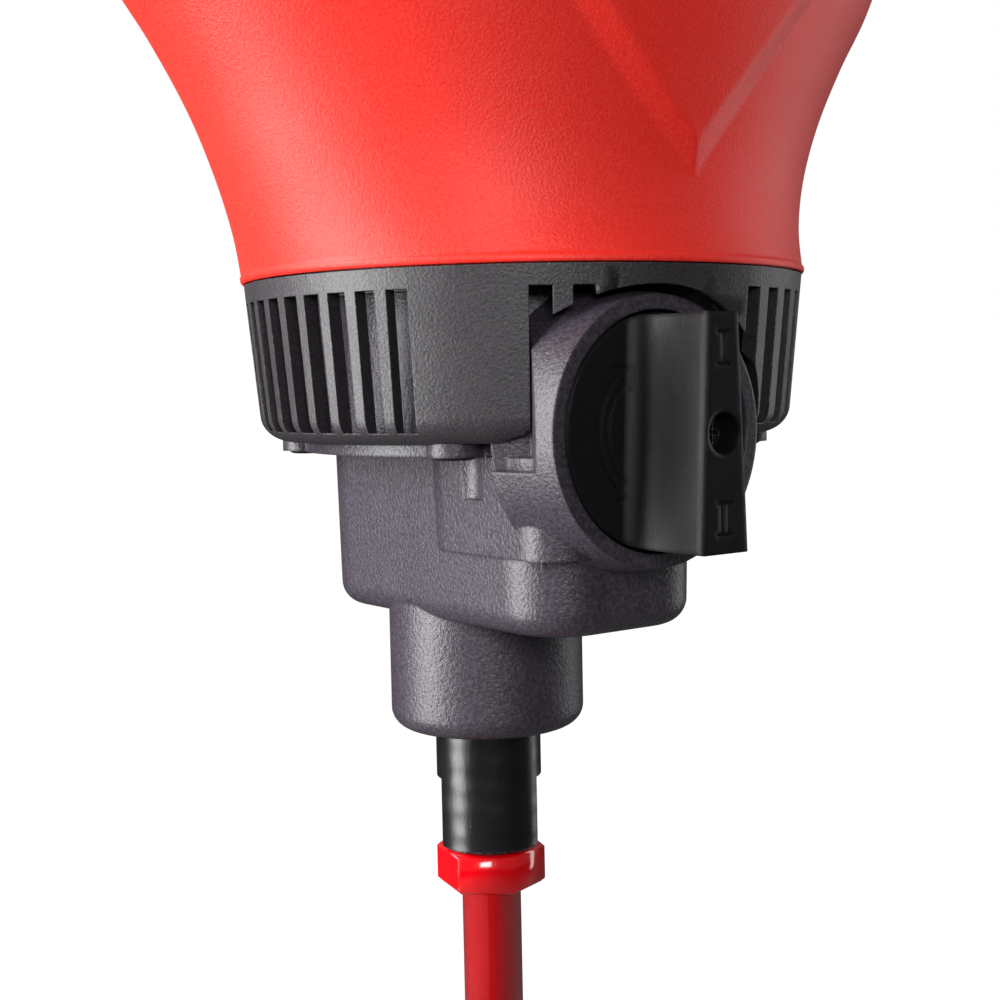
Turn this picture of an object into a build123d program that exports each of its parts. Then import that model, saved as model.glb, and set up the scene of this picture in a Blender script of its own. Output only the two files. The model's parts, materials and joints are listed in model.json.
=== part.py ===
from build123d import *
from math import acos, atan2, cos, hypot, pi, radians, sin, sqrt, tan
import os

os.makedirs("parts", exist_ok=True)

# Hand-held two-speed paddle mixer, millimetres.
# Origin: midway between the two hand grips, on the motor axis. +Z towards the top cap, -Y towards the gear knob.

# ---- driving dimensions ----
deck = -160.0  # height of the joint between the red bell and the black vent ring
spindle_x = -12.5  # the spindle stands this far from the motor axis
grip_x = 166.0  # each hand grip's distance from the motor axis
grip_half = 43.0  # half the length of a rubber grip
ring_radius = 64.0
ring_height = 40.0
drum_radius = 51.0  # round top of the gear case
drum_floor = deck - 38.0
case_width = 46.4  # lower gear case, square to the knob
case_front = -53.0
case_back = 37.5
case_floor = deck - 75.0
case_wall = 2.8
neck_bottom = deck - 102.0
neck_radius = 22.3
spindle_radius = 12.2
spindle_end = deck - 130.3
wrench_size = 22.0  # spanner flats on the spindle and on the paddle's hexagon
rod_radius = 6.9
paddle_radius = 65.0
paddle_bottom = deck - 690.0
knob_height = deck - 33.5
knob_face = -60.5  # rim of the knob's boss
knob_rim_radius = 27.3
knob_throw = 3.5  # eccentricity of the selector pin
bell_top = deck + 76.0
cap_bottom = deck + 212.0
cap_top = deck + 238.0

# gear train: module, tooth counts and face heights
pressure_angle = radians(25.0)
motor_module, motor_teeth, first_teeth = 0.8, 9, 40
middle_module, middle_pinion_teeth, middle_teeth = 1.0, 11, 33
last_module = 1.2
low_pinion_teeth, low_teeth = 10, 30
high_pinion_teeth, high_teeth = 15, 25
first_level = (deck - 10.0, deck - 5.0)
middle_level = (deck - 16.5, deck - 11.0)
low_level = (deck - 26.0, deck - 18.0)
high_level = (deck - 56.0, deck - 47.6)
running = 0.04  # radial clearance of a journal in its bush

# ---- shaft positions ----
motor = (0.0, 0.0)
spindle = (spindle_x, 0.0)
last_centres = last_module * (low_pinion_teeth + low_teeth) / 2
middle_centres = middle_module * (middle_pinion_teeth + middle_teeth) / 2
first_centres = motor_module * (motor_teeth + first_teeth) / 2
countershaft_angle = radians(74.0)
countershaft = (
    spindle[0] + last_centres * cos(countershaft_angle),
    spindle[1] + last_centres * sin(countershaft_angle),
)


def third_corner(a, b, from_a, from_b):
    """The point at the given distances from a and b, on the right of the way from a to b."""
    run = hypot(b[0] - a[0], b[1] - a[1])
    along = (from_a**2 - from_b**2 + run**2) / (2 * run)
    off = sqrt(from_a**2 - along**2)
    ux, uy = (b[0] - a[0]) / run, (b[1] - a[1]) / run
    return (a[0] + along * ux + off * uy, a[1] + along * uy - off * ux)


idler = third_corner(motor, countershaft, first_centres, middle_centres)


def bearing_of(a, b):
    """Direction from shaft a to shaft b, in radians."""
    return atan2(b[1] - a[1], b[0] - a[0])


def meshing_phase(a, phase_a, teeth_a, b, teeth_b):
    """Tooth phase of the gear at b that puts its gap on the gear at a."""
    way = bearing_of(a, b)
    turned = (way - phase_a) * teeth_a / teeth_b
    return way + pi + turned + pi / teeth_b


def level(height, at=(0.0, 0.0)):
    """Horizontal plane at a height, centred on a shaft."""
    return Plane((at[0], at[1], height))


def side(at=(0.0, 0.0)):
    """Upright plane through a shaft: its x is the radius and its y is the height."""
    return Plane(origin=(at[0], at[1], 0), x_dir=(1, 0, 0), z_dir=(0, -1, 0))


def upright(at=(0.0, 0.0)):
    """The shaft's own axis."""
    return Axis((at[0], at[1], 0), (0, 0, 1))


def across(depth):
    """Upright plane facing the knob side, centred on the knob: its x is +X and its y is +Z."""
    return Plane(origin=(spindle_x, depth, knob_height), x_dir=(1, 0, 0), z_dir=(0, -1, 0))


def filled(*points):
    """A polygon through the points, where they stand."""
    Polygon(*points, align=None)


def ring_face(outer, inner=0.0):
    """A disc, or a flat ring if it has an inner radius."""
    Circle(outer)
    if inner:
        Circle(inner, mode=Mode.SUBTRACT)


def gear_face(teeth, module, phase, bore=0.0):
    """An involute spur gear outline, thinned for backlash."""
    pitch = module * teeth / 2
    base = pitch * cos(pressure_angle)
    tip = pitch + 0.8 * module
    root = pitch - 1.1 * module
    flank_start = max(base, root + 0.1 * module)
    half_at_pitch = (pi / 2 - 0.14) / teeth
    rise = tan(pressure_angle) - pressure_angle

    def half_angle(radius):
        slope = acos(min(1.0, base / max(radius, base)))
        return half_at_pitch + rise - (tan(slope) - slope)

    radii = [root, flank_start, (flank_start + pitch) / 2, pitch, (pitch + tip) / 2, tip]
    points = []
    for tooth in range(teeth):
        middle = phase + 2 * pi * tooth / teeth
        for radius in radii:
            angle = middle - half_angle(radius)
            points.append((radius * cos(angle), radius * sin(angle)))
        for radius in reversed(radii):
            angle = middle + half_angle(radius)
            points.append((radius * cos(angle), radius * sin(angle)))
    Polygon(*points, align=None)
    if bore:
        Circle(bore, mode=Mode.SUBTRACT)


def turned(at, *outline):
    """A turned solid on a shaft's axis, from (radius, height) points."""
    with BuildPart() as solid:
        with BuildSketch(side(at)):
            filled(*outline)
        revolve(axis=upright(at))
    return solid


def tube(at, outer, inner, low, high):
    """A plain ring or disc on a shaft's axis."""
    with BuildPart() as solid:
        with BuildSketch(level(low, at)):
            ring_face(outer, inner)
        extrude(amount=high - low)
    return solid


# ---- red housing: outline as (height, half width in X, half depth in Y) ----
bell_outline = (
    (deck, 64.3, 64.3),
    (deck + 10, 67.5, 58.6),
    (deck + 22, 72.2, 56.6),
    (deck + 36, 78.6, 57.6),
    (deck + 50, 87.0, 60.0),
    (deck + 63, 97.0, 62.0),
    (bell_top, 104.0, 63.0),
)
body_outline = (
    (bell_top + 0.4, 104.0, 63.0),
    (bell_top + 22, 76.0, 61.0),
    (bell_top + 50, 60.0, 58.0),
    (bell_top + 96, 56.0, 56.0),
    (cap_bottom - 0.4, 53.0, 53.0),
)
shell_wall = 3.0


def oval_loft(outline, inset=0.0, stretch=0.0):
    """Smooth loft through oval sections, each made smaller by the inset, its ends moved out by the stretch."""
    with BuildPart() as solid:
        for number, (height, half_x, half_y) in enumerate(outline):
            height += {0: -stretch, len(outline) - 1: stretch}.get(number, 0.0)
            with BuildSketch(level(height)):
                Ellipse(half_x - inset, half_y - inset)
        loft()
    return solid.part


bell_outside = oval_loft(bell_outline)
bell_inside = oval_loft(bell_outline, shell_wall, 0.5)

# raised shield on the front of the bell, coming to a point above the knob
shield_raise = 2.2
shield_point = deck + 16.0
shield_skin = oval_loft(tuple((z, x + shield_raise, y + shield_raise) for z, x, y in bell_outline))
with BuildPart() as shield_block:
    add(shield_skin)
    with BuildSketch(Plane.XZ.offset(5)):
        filled(
            (0, shield_point),
            (38, shield_point + 41),
            (42, bell_top - 2),
            (-42, bell_top - 2),
            (-38, shield_point + 41),
        )
    extrude(amount=90, mode=Mode.INTERSECT)

with BuildPart() as motor_bell:
    add(bell_outside)
    add(shield_block.part)
    add(bell_inside, mode=Mode.SUBTRACT)
    with BuildSketch(level(deck)):
        ring_face(63.0, 59.5)
    extrude(amount=2.0)

# ---- handles ----
loop_end = (40.0, 32.0)
loop_rise = 34.0
loop_points = ((78.0, -64.0), (grip_x, -61.0), (grip_x, loop_end[1] + loop_rise), loop_end)
loop_corner = 17.0
loop_radius_x, loop_radius_y = 13.0, 17.0
clamp_head_radius, clamp_shank_radius = 3.9, 2.0
cap_screw_radius = 45.0


def upper_arm_height(x):
    """Height of the upper arm's centre line at a distance from the motor axis."""
    return loop_end[1] + loop_rise * (x - loop_end[0]) / (grip_x - loop_end[0])


def handle_loop(direction, inset=0.0):
    """An oval section swept round the loop, from the bell's shoulder to the top of the motor."""
    with BuildPart() as solid:
        with BuildLine(Plane.XZ) as path:
            FilletPolyline(*[(direction * x, z) for x, z in loop_points], radius=loop_corner)
        with BuildSketch(Plane(origin=path.line @ 0, z_dir=path.line % 0, x_dir=(0, 1, 0))):
            Ellipse(loop_radius_y - inset, loop_radius_x - inset)
        sweep()
    return solid.part


body_outside = oval_loft(body_outline)
body_inside = oval_loft(body_outline, shell_wall, 0.5)
loops = [handle_loop(1), handle_loop(-1)]
loop_hollows = [handle_loop(1, shell_wall), handle_loop(-1, shell_wall)]
clamp_screws = ((118.0, -62.6), (104.0, upper_arm_height(104.0)), (146.0, upper_arm_height(146.0)))
clamp_places = [(way * x, z) for way in (1, -1) for x, z in clamp_screws]
cap_places = [
    (cap_screw_radius * cos(radians(a)), cap_screw_radius * sin(radians(a))) for a in (45, 135, 225, 315)
]

# trigger window in the right grip's inner side
trigger_low, trigger_high = -16.0, 24.0
trigger_travel = 5.0
dial_height = 32.0
dial_radius = 14.0
dial_centre_y = 48.5
lock_x = 128.0
lock_height = upper_arm_height(lock_x)

with BuildPart() as whole_shell:
    add(body_outside)
    for loop in loops:
        add(loop)
    add(body_inside, mode=Mode.SUBTRACT)
    for hollow in loop_hollows:
        add(hollow, mode=Mode.SUBTRACT)
    with BuildSketch(Plane.XZ.offset(-15)):
        with Locations(*clamp_places):
            Circle(5.2)
    extrude(amount=30)
    for place in cap_places:
        with BuildSketch(level(cap_bottom - 22, place)):
            Circle(7.2)
        extrude(amount=21.6)
    # screw holes and the countersunk seats of their heads
    with BuildSketch(Plane.XZ.offset(-12.4)):
        with Locations(*clamp_places):
            Circle(clamp_head_radius + 0.3)
    extrude(amount=-12, mode=Mode.SUBTRACT)
    with BuildSketch(Plane.XZ.offset(-13)):
        with Locations(*clamp_places):
            Circle(clamp_shank_radius + 0.15)
    extrude(amount=25, mode=Mode.SUBTRACT)
    for place in cap_places:
        with BuildSketch(level(cap_bottom, place)):
            Circle(clamp_shank_radius + 0.15)
        extrude(amount=-19, mode=Mode.SUBTRACT)
    # window for the trigger stem, slot for the speed dial, hole for the lock button
    with BuildSketch(Plane.YZ.offset(grip_x - 20)):
        with Locations((0, (trigger_low + trigger_high) / 2)):
            Rectangle(11.2, trigger_high - trigger_low - 13)
    extrude(amount=14, mode=Mode.SUBTRACT)
    with BuildSketch(Plane.XZ.offset(-dial_centre_y + 6)):
        with Locations((0, dial_height)):
            Rectangle(8.0, 2 * dial_radius + 1)
    extrude(amount=-20, mode=Mode.SUBTRACT)
    with BuildSketch(Plane.XZ.offset(10)):
        with Locations((lock_x, lock_height)):
            Circle(5.0)
    extrude(amount=12, mode=Mode.SUBTRACT)

with BuildPart() as front_housing:
    add(whole_shell.part)
    split(bisect_by=Plane.XZ.offset(0.1), keep=Keep.TOP)

with BuildPart() as rear_housing:
    add(whole_shell.part)
    split(bisect_by=Plane.XZ.offset(-0.1), keep=Keep.BOTTOM)

# ---- rubber grips ----
sleeve = 2.8


def grip_sleeve(direction, window):
    """Rubber tube over the straight of a handle, ribbed on the outside, with a window on the trigger side."""
    with BuildPart() as solid:
        with BuildSketch(level(-grip_half + 2, (direction * grip_x, 0))):
            Ellipse(loop_radius_x + sleeve, loop_radius_y + sleeve)
            Ellipse(loop_radius_x + 0.05, loop_radius_y + 0.05, mode=Mode.SUBTRACT)
        extrude(amount=2 * grip_half - 4)
        for number in range(9):
            with BuildSketch(level(-32 + 8 * number - 1, (direction * grip_x, 0))):
                Ellipse(loop_radius_x + sleeve + 2, loop_radius_y + sleeve + 2)
                Ellipse(loop_radius_x + sleeve - 0.6, loop_radius_y + sleeve - 0.6, mode=Mode.SUBTRACT)
            extrude(amount=1.6, mode=Mode.SUBTRACT)
        if window:
            with BuildSketch(Plane.YZ.offset(grip_x - 22)):
                with Locations((0, (trigger_low + trigger_high) / 2)):
                    RectangleRounded(19, trigger_high - trigger_low + 1.6, 4)
            extrude(amount=14, mode=Mode.SUBTRACT)
    return solid


right_grip = grip_sleeve(1, True)
left_grip = grip_sleeve(-1, False)

# ---- trigger, lock button, switch ----
with BuildPart() as trigger:
    with BuildSketch(Plane.YZ.offset(grip_x - 23.5)):
        with Locations((0, (trigger_low + trigger_high) / 2)):
            RectangleRounded(17, trigger_high - trigger_low, 3.5)
    extrude(amount=5.4)
    fillet(trigger.edges().group_by(Axis.X)[0], 1.6)
    with BuildSketch(Plane.YZ.offset(grip_x - 18.1)):
        with Locations((0, (trigger_low + trigger_high) / 2)):
            Rectangle(10, trigger_high - trigger_low - 14.5)
    extrude(amount=10.4)

spring_wire, spring_coil, spring_height = 0.35, 3.0, 4.0
with BuildPart() as switch_body:
    with BuildSketch(Plane.YZ.offset(grip_x - 2.2)):
        with Locations((0, 2)):
            Rectangle(15, 36)
    extrude(amount=7.6)
    chamfer(switch_body.edges().filter_by(Axis.Z), 1.5)
    # bore that takes the spring as the trigger goes in
    with BuildSketch(Plane.YZ.offset(grip_x - 2.2)):
        with Locations((0, spring_height)):
            Circle(spring_coil + 1.0)
    extrude(amount=trigger_travel + 0.4, mode=Mode.SUBTRACT)

with BuildPart() as trigger_spring:
    with BuildLine() as coil:
        Helix(1.2, 4.7, spring_coil, center=(grip_x - 7.3, 0, spring_height), direction=(1, 0, 0))
    with BuildSketch(Plane(origin=coil.line @ 0, z_dir=coil.line % 0)):
        Circle(spring_wire)
    sweep()

with BuildPart() as lock_button:
    with BuildSketch(Plane.XZ.offset(9.5)):
        with Locations((lock_x, lock_height)):
            Circle(4.6)
    extrude(amount=10.5)
    fillet(lock_button.edges().group_by(Axis.Y)[0], 1.2)
    with BuildSketch(Plane.XZ.offset(6.5)):
        with Locations((lock_x, lock_height)):
            Circle(5.8)
    extrude(amount=3)

# ---- speed dial ----
with BuildPart() as speed_dial:
    with BuildSketch(Plane.YZ.offset(-3.4)):
        with Locations((dial_centre_y, dial_height)):
            Circle(dial_radius)
            with PolarLocations(dial_radius, 24):
                Circle(0.9, mode=Mode.SUBTRACT)
    extrude(amount=6.8)
    with BuildSketch(Plane.YZ.offset(-6)):
        with Locations((dial_centre_y, dial_height)):
            Circle(2.4)
    extrude(amount=12)

with BuildPart() as electronics_module:
    with BuildSketch(level(cap_bottom - 14)):
        RectangleRounded(56, 44, 3)
    extrude(amount=12)
    with BuildSketch(Plane.YZ.offset(-9)):
        with Locations((28, dial_height + 1)):
            Rectangle(9, 14)
    extrude(amount=18)
    with BuildSketch(level(cap_bottom - 14, (0, 24))):
        Rectangle(14, 8)
    extrude(amount=2)

# ---- top cap and cable inlet ----
inlet_y = 24.0
inlet_bore = 4.4
cap_outline = (
    (cap_bottom, 53.0, 53.0),
    (cap_bottom + 9, 52.0, 52.0),
    (cap_bottom + 18, 47.5, 47.5),
    (cap_top, 36.0, 36.0),
)
cap_outside = oval_loft(cap_outline)
cap_inside = oval_loft(tuple((z - 2.6, x, y) for z, x, y in cap_outline), 2.6, 0.0)
with BuildPart() as top_cap:
    add(cap_outside)
    add(cap_inside, mode=Mode.SUBTRACT)
    for place in cap_places:
        with BuildSketch(level(cap_bottom, place)):
            Circle(5.6)
        extrude(amount=9)
        with BuildSketch(level(cap_bottom - 1, place)):
            Circle(clamp_shank_radius + 0.15)
        extrude(amount=30, mode=Mode.SUBTRACT)
        with BuildSketch(level(cap_bottom + 7, place)):
            Circle(clamp_head_radius + 0.4)
        extrude(amount=30, mode=Mode.SUBTRACT)
    with BuildSketch(level(cap_top - 8, (0, inlet_y))):
        Circle(9.1)
    extrude(amount=12, mode=Mode.SUBTRACT)

with BuildPart() as cable_bush:
    with BuildSketch(side((0, inlet_y))):
        filled(
            (inlet_bore, cap_top - 6),
            (11.5, cap_top - 6),
            (11.5, cap_top - 3.4),
            (9.0, cap_top - 3.4),
            (9.0, cap_top + 0.4),
            (10.4, cap_top + 0.4),
            (9.6, cap_top + 10),
            (6.2, cap_top + 46),
            (inlet_bore, cap_top + 46),
        )
    revolve(axis=upright((0, inlet_y)))
    for number in range(4):
        with BuildSketch(level(cap_top + 13 + 8 * number, (0, inlet_y))):
            ring_face(12, 6.4)
        extrude(amount=3.2, mode=Mode.SUBTRACT)

# ---- vent ring ----
slot_width = 4.7
side_slots = [180 * end + 6.6 * (n - 4.5) for end in (0, 1) for n in range(10)]
front_slots = [270 + a for a in (-34.2, -26.4, 11.4, 18.8, 26.4, 34.2)]
rear_slots = [90 + 7.6 * (n - 4) for n in range(9)]
lug_places = [(x, y) for x in (-41.0, 41.0) for y in (-30.0, 30.0)]
screw_head, screw_shank = 4.8, 2.4


def case_outline(margin=0.0):
    """Rounded rectangle of the lower gear case, in plan."""
    with Locations((spindle_x, (case_front + case_back) / 2)):
        RectangleRounded(case_width + 2 * margin, case_back - case_front + 2 * margin, 15 + margin)


def knob_cone(margin, start=-44.0, end=knob_face):
    """Boss of the gear knob: a cone that narrows towards its rim and draws in again behind."""
    spread, tail, tail_radius = 0.2, -37.0, 24.0
    with BuildPart() as cone:
        with BuildSketch(Plane(origin=(spindle_x, 0, knob_height), x_dir=(1, 0, 0), z_dir=(0, 0, 1))):
            filled(
                (0, max(start, tail)),
                (tail_radius + margin, max(start, tail)),
                (knob_rim_radius + margin + spread * (start - knob_face), start),
                (knob_rim_radius + margin + spread * (end - knob_face), end),
                (0, end),
            )
        revolve(axis=Axis((spindle_x, 0, knob_height), (0, 1, 0)))
    return cone.part


def right_of_slot(margin, low, high):
    """Everything on the knob's side of the outer edge of the first front slot, between two levels."""
    way = radians(front_slots[0])
    along, over = (cos(way), sin(way)), (-sin(way), cos(way))
    edge = [
        (reach * along[0] + margin * over[0], reach * along[1] + margin * over[1]) for reach in (10.0, 90.0)
    ]
    with BuildPart() as region:
        with BuildSketch(level(low)):
            filled(edge[0], edge[1], (70.0, -80.0), (70.0, -10.0))
        extrude(amount=high - low)
    return region.part


with BuildPart() as knob_opening:
    add(knob_cone(1.7, -36, -70))
    add(right_of_slot(-slot_width / 2, deck - 80, deck), mode=Mode.INTERSECT)

with BuildPart() as floor_opening:
    add(knob_cone(0.6, -36, -70))
    with BuildSketch(level(deck - 80)):
        ring_face(ring_radius - 7.2)
    extrude(amount=80, mode=Mode.INTERSECT)

with BuildPart() as vent_ring:
    with BuildSketch(side()):
        filled(
            (ring_radius, deck - 0.3),
            (ring_radius - 3.3, deck - ring_height),
            (24, deck - ring_height),
            (24, deck - ring_height + 1.7),
            (ring_radius - 6.9, deck - ring_height + 1.7),
            (ring_radius - 3.6, deck - 0.3),
        )
    revolve(axis=upright())
    fillet(vent_ring.edges().filter_by(GeomType.CIRCLE).group_by(Axis.Z)[0].sort_by(SortBy.RADIUS)[-1], 7.0)
    with BuildSketch(level(deck - ring_height - 1)):
        case_outline(3.0)
    extrude(amount=4, mode=Mode.SUBTRACT)
    for angle in side_slots + front_slots + rear_slots:
        way = radians(angle)
        with BuildSketch(
            Plane(origin=(50 * cos(way), 50 * sin(way), 0), x_dir=(-sin(way), cos(way), 0), z_dir=(cos(way), sin(way), 0))
        ):
            with Locations((0, deck - 21.0)):
                Rectangle(slot_width, 32)
        extrude(amount=20, mode=Mode.SUBTRACT)
    with BuildSketch(level(deck - ring_height - 1)):
        with Locations(*lug_places):
            Circle(screw_shank + 0.2)
    extrude(amount=4, mode=Mode.SUBTRACT)
    add(knob_opening.part, mode=Mode.SUBTRACT)
    add(floor_opening.part, mode=Mode.SUBTRACT)

# ---- gear case ----
idler_journal, countershaft_journal, spindle_journal = 3.5, 4.0, 4.0
lower_race, upper_race = 17.5, 16.0
rail = (spindle_x, -23.0)
cover_screws = [(46.5 * cos(radians(a)), 46.5 * sin(radians(a))) for a in (45, 135, 225, 315)]
pocket = drum_floor + 3.4

# the knob's boss, kept inside the vent ring beyond the first front slot
with BuildPart() as beside_boss:
    with BuildSketch(level(deck - ring_height - 0.5)):
        ring_face(80.0, ring_radius - 7.6)
    extrude(amount=ring_height + 0.5)
    add(right_of_slot(0.4 - slot_width / 2, deck - 80, deck), mode=Mode.SUBTRACT)

with BuildPart() as knob_boss:
    add(knob_cone(0.0))
    add(beside_boss.part, mode=Mode.SUBTRACT)

with BuildPart() as gear_case:
    # drum, box and neck from the outside
    with BuildSketch(level(drum_floor)):
        ring_face(drum_radius)
    extrude(amount=deck - 4 - drum_floor)
    with BuildSketch(level(drum_floor)):
        case_outline()
    extrude(amount=case_floor - drum_floor, taper=1.2)
    fillet(gear_case.edges().group_by(Axis.Z)[0], 5.5)
    with BuildSketch(level(drum_floor)):
        with Locations((spindle_x, (case_front - 2.6 - 9) / 2)):
            RectangleRounded(case_width + 2.8, -9 - (case_front - 2.6), 10)
    extrude(amount=-20.5, taper=2)
    with BuildSketch(side(spindle)):
        filled(
            (0, case_floor + 3),
            (neck_radius, case_floor + 3),
            (neck_radius, neck_bottom),
            (0, neck_bottom),
        )
    revolve(axis=upright(spindle))
    fillet(gear_case.edges().group_by(Axis.Z)[0], 4.5)
    add(knob_boss.part)
    for place in lug_places:
        with BuildSketch(level(drum_floor, place)):
            Circle(6.0)
        extrude(amount=16)
    with BuildSketch(level(deck - 4)):
        ring_face(drum_radius)
    extrude(amount=12, mode=Mode.SUBTRACT)
    with BuildSketch(level(drum_floor)):
        with Locations(*lug_places):
            Circle(screw_head + 0.6)
    extrude(amount=-9, mode=Mode.SUBTRACT)
    # gear chamber
    with BuildSketch(level(pocket)):
        ring_face(drum_radius - 3.5)
    extrude(amount=deck - pocket, mode=Mode.SUBTRACT)
    with BuildSketch(level(case_floor + 3.2)):
        case_outline(-case_wall - 0.4)
    extrude(amount=pocket - case_floor, mode=Mode.SUBTRACT)
    for place in cover_screws:
        with BuildSketch(level(pocket, place)):
            Circle(4.4)
        extrude(amount=deck - 4 - pocket)
        with BuildSketch(level(deck - 18, place)):
            Circle(screw_shank)
        extrude(amount=20, mode=Mode.SUBTRACT)
    # seats for bushes and bearings
    with BuildSketch(level(case_floor + 3.2, spindle)):
        Circle(upper_race + 2.6)
    extrude(amount=7.5)
    with BuildSketch(level(case_floor + 3.2, countershaft)):
        Circle(countershaft_journal + 4)
    extrude(amount=9)
    with BuildSketch(level(pocket, idler)):
        Circle(idler_journal + 4)
    extrude(amount=14)
    with BuildSketch(level(case_floor + 3.2, rail)):
        Circle(5)
    extrude(amount=10)
    with BuildSketch(level(case_floor + 1.2, spindle)):
        Circle(upper_race)
    extrude(amount=9.5, mode=Mode.SUBTRACT)
    with BuildSketch(level(neck_bottom, spindle)):
        Circle(lower_race)
    extrude(amount=15.5, mode=Mode.SUBTRACT)
    with BuildSketch(level(neck_bottom, spindle)):
        Circle(spindle_radius + 1.2)
    extrude(amount=40, mode=Mode.SUBTRACT)
    with BuildSketch(level(case_floor + 4.7, countershaft)):
        Circle(countershaft_journal + 2)
    extrude(amount=8, mode=Mode.SUBTRACT)
    with BuildSketch(level(pocket + 6, idler)):
        Circle(idler_journal + 2)
    extrude(amount=9, mode=Mode.SUBTRACT)
    with BuildSketch(level(case_floor + 5.2, rail)):
        Circle(2.5)
    extrude(amount=9, mode=Mode.SUBTRACT)
    # recess of the knob, bore of its shaft, screw holes of the vent ring
    with BuildSketch(across(knob_face - 1)):
        Circle(24.3)
    extrude(amount=-7.0, mode=Mode.SUBTRACT)
    with BuildSketch(across(knob_face - 1)):
        Circle(5.0 + running)
    extrude(amount=-24, mode=Mode.SUBTRACT)
    with BuildSketch(level(drum_floor - 1)):
        with Locations(*lug_places):
            Circle(screw_shank)
    extrude(amount=13, mode=Mode.SUBTRACT)

# cover plate between the gears and the motor
motor_race = 16.0
with BuildPart() as gear_case_cover:
    with BuildSketch(level(deck - 4)):
        ring_face(drum_radius - 0.6)
    extrude(amount=8.5)
    with BuildSketch(level(deck + 4.5)):
        ring_face(20)
    extrude(amount=11)
    with BuildSketch(level(deck + 5.5)):
        ring_face(motor_race)
    extrude(amount=12, mode=Mode.SUBTRACT)
    with BuildSketch(level(deck - 5)):
        ring_face(6.2)
    extrude(amount=12, mode=Mode.SUBTRACT)
    with BuildSketch(level(deck - 4, spindle)):
        ring_face(5.8)
    extrude(amount=7, mode=Mode.SUBTRACT)
    for shaft, journal in ((countershaft, countershaft_journal), (idler, idler_journal)):
        with BuildSketch(level(deck - 4, shaft)):
            Circle(journal + 2)
        extrude(amount=7, mode=Mode.SUBTRACT)
    for place in cover_screws:
        with BuildSketch(level(deck - 5, place)):
            Circle(screw_shank + 0.2)
        extrude(amount=20, mode=Mode.SUBTRACT)

# bushes of the two intermediate shafts and of the spindle's top end
with BuildPart() as gear_bushes:
    for shaft, bore, outer, low, high in (
        (spindle, spindle_journal, 5.8, deck - 4, deck + 3),
        (countershaft, countershaft_journal, countershaft_journal + 2, deck - 4, deck + 3),
        (countershaft, countershaft_journal, countershaft_journal + 2, case_floor + 4.7, case_floor + 12.2),
        (idler, idler_journal, idler_journal + 2, deck - 4, deck + 3),
        (idler, idler_journal, idler_journal + 2, pocket + 6, pocket + 14),
    ):
        with BuildSketch(level(low, shaft)):
            ring_face(outer, bore + running)
        extrude(amount=high - low)


def pan_screw(solid_places, plane_height, down, length, head=screw_head, shank=screw_shank):
    """A group of pan-head screws with cross recesses; down is -1 for heads that face down."""
    with BuildPart() as screws:
        for place in solid_places:
            with BuildSketch(level(plane_height, place)):
                Circle(head)
            extrude(amount=down * 3.1)
        edge = screws.edges().filter_by(GeomType.CIRCLE).group_by(Axis.Z)[0 if down < 0 else -1]
        fillet(edge, 1.6)
        for place in solid_places:
            with BuildSketch(level(plane_height, place)):
                Circle(shank)
            extrude(amount=-down * length)
            with BuildSketch(level(plane_height + down * 3.2, place)):
                Rectangle(1.0, 4.4)
                Rectangle(4.4, 1.0)
            extrude(amount=-down * 1.7, mode=Mode.SUBTRACT)
    return screws


ring_screws = pan_screw(lug_places, deck - ring_height, -1, 12)
cover_bolts = pan_screw(cover_screws, deck + 4.5, 1, 20)
cap_screws = pan_screw(cap_places, cap_bottom + 7, 1, 24, clamp_head_radius, clamp_shank_radius)

with BuildPart() as clamp_bolts:
    with BuildSketch(Plane.XZ.offset(-12.4)):
        with Locations(*clamp_places):
            Circle(clamp_head_radius)
    extrude(amount=-2.6)
    with BuildSketch(Plane.XZ.offset(-12.4)):
        with Locations(*clamp_places):
            Circle(clamp_shank_radius)
    extrude(amount=23)
    with BuildSketch(Plane.XZ.offset(-15.1)):
        with Locations(*clamp_places):
            RegularPolygon(1.9, 6)
    extrude(amount=1.6, mode=Mode.SUBTRACT)

# ---- motor ----
motor_shaft_radius = 5.0
core_low, core_high = deck + 64.0, deck + 124.0
armature_radius, stator_bore, stator_radius = 29.0, 29.8, 48.0

armature_shaft = turned(
    motor,
    (0, deck + 4.6),
    (5.0, deck + 4.6),
    (6.0, deck + 5.6),
    (6.0, deck + 15),
    (7.0, deck + 15.5),
    (7.0, core_high + 30),
    (4.0, core_high + 31),
    (4.0, deck + 188),
    (0, deck + 188),
)
armature_phase = 0.3
idler_phase = meshing_phase(motor, armature_phase, motor_teeth, idler, first_teeth)
with BuildPart() as armature_pinion_shaft:
    add(armature_shaft.part)
    with BuildSketch(level(first_level[0] - 0.6)):
        gear_face(motor_teeth, motor_module, armature_phase)
    extrude(amount=deck + 4.6 - first_level[0] + 0.6)

with BuildPart() as armature_core:
    with BuildSketch(level(core_low)):
        ring_face(armature_radius, 7.0)
        with PolarLocations(armature_radius, 16):
            Rectangle(9, 2.4, mode=Mode.SUBTRACT)
    extrude(amount=core_high - core_low)

with BuildPart() as armature_windings:
    for low in (core_low - 11, core_high):
        with BuildSketch(level(low)):
            ring_face(25, 7.0)
        extrude(amount=11)
    fillet(armature_windings.edges().filter_by(GeomType.CIRCLE).group_by(SortBy.RADIUS)[-1], 4)

with BuildPart() as commutator:
    with BuildSketch(level(core_high + 13)):
        ring_face(15, 7.0)
        with PolarLocations(15, 24):
            Rectangle(2.4, 0.6, mode=Mode.SUBTRACT)
    extrude(amount=17)

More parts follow.
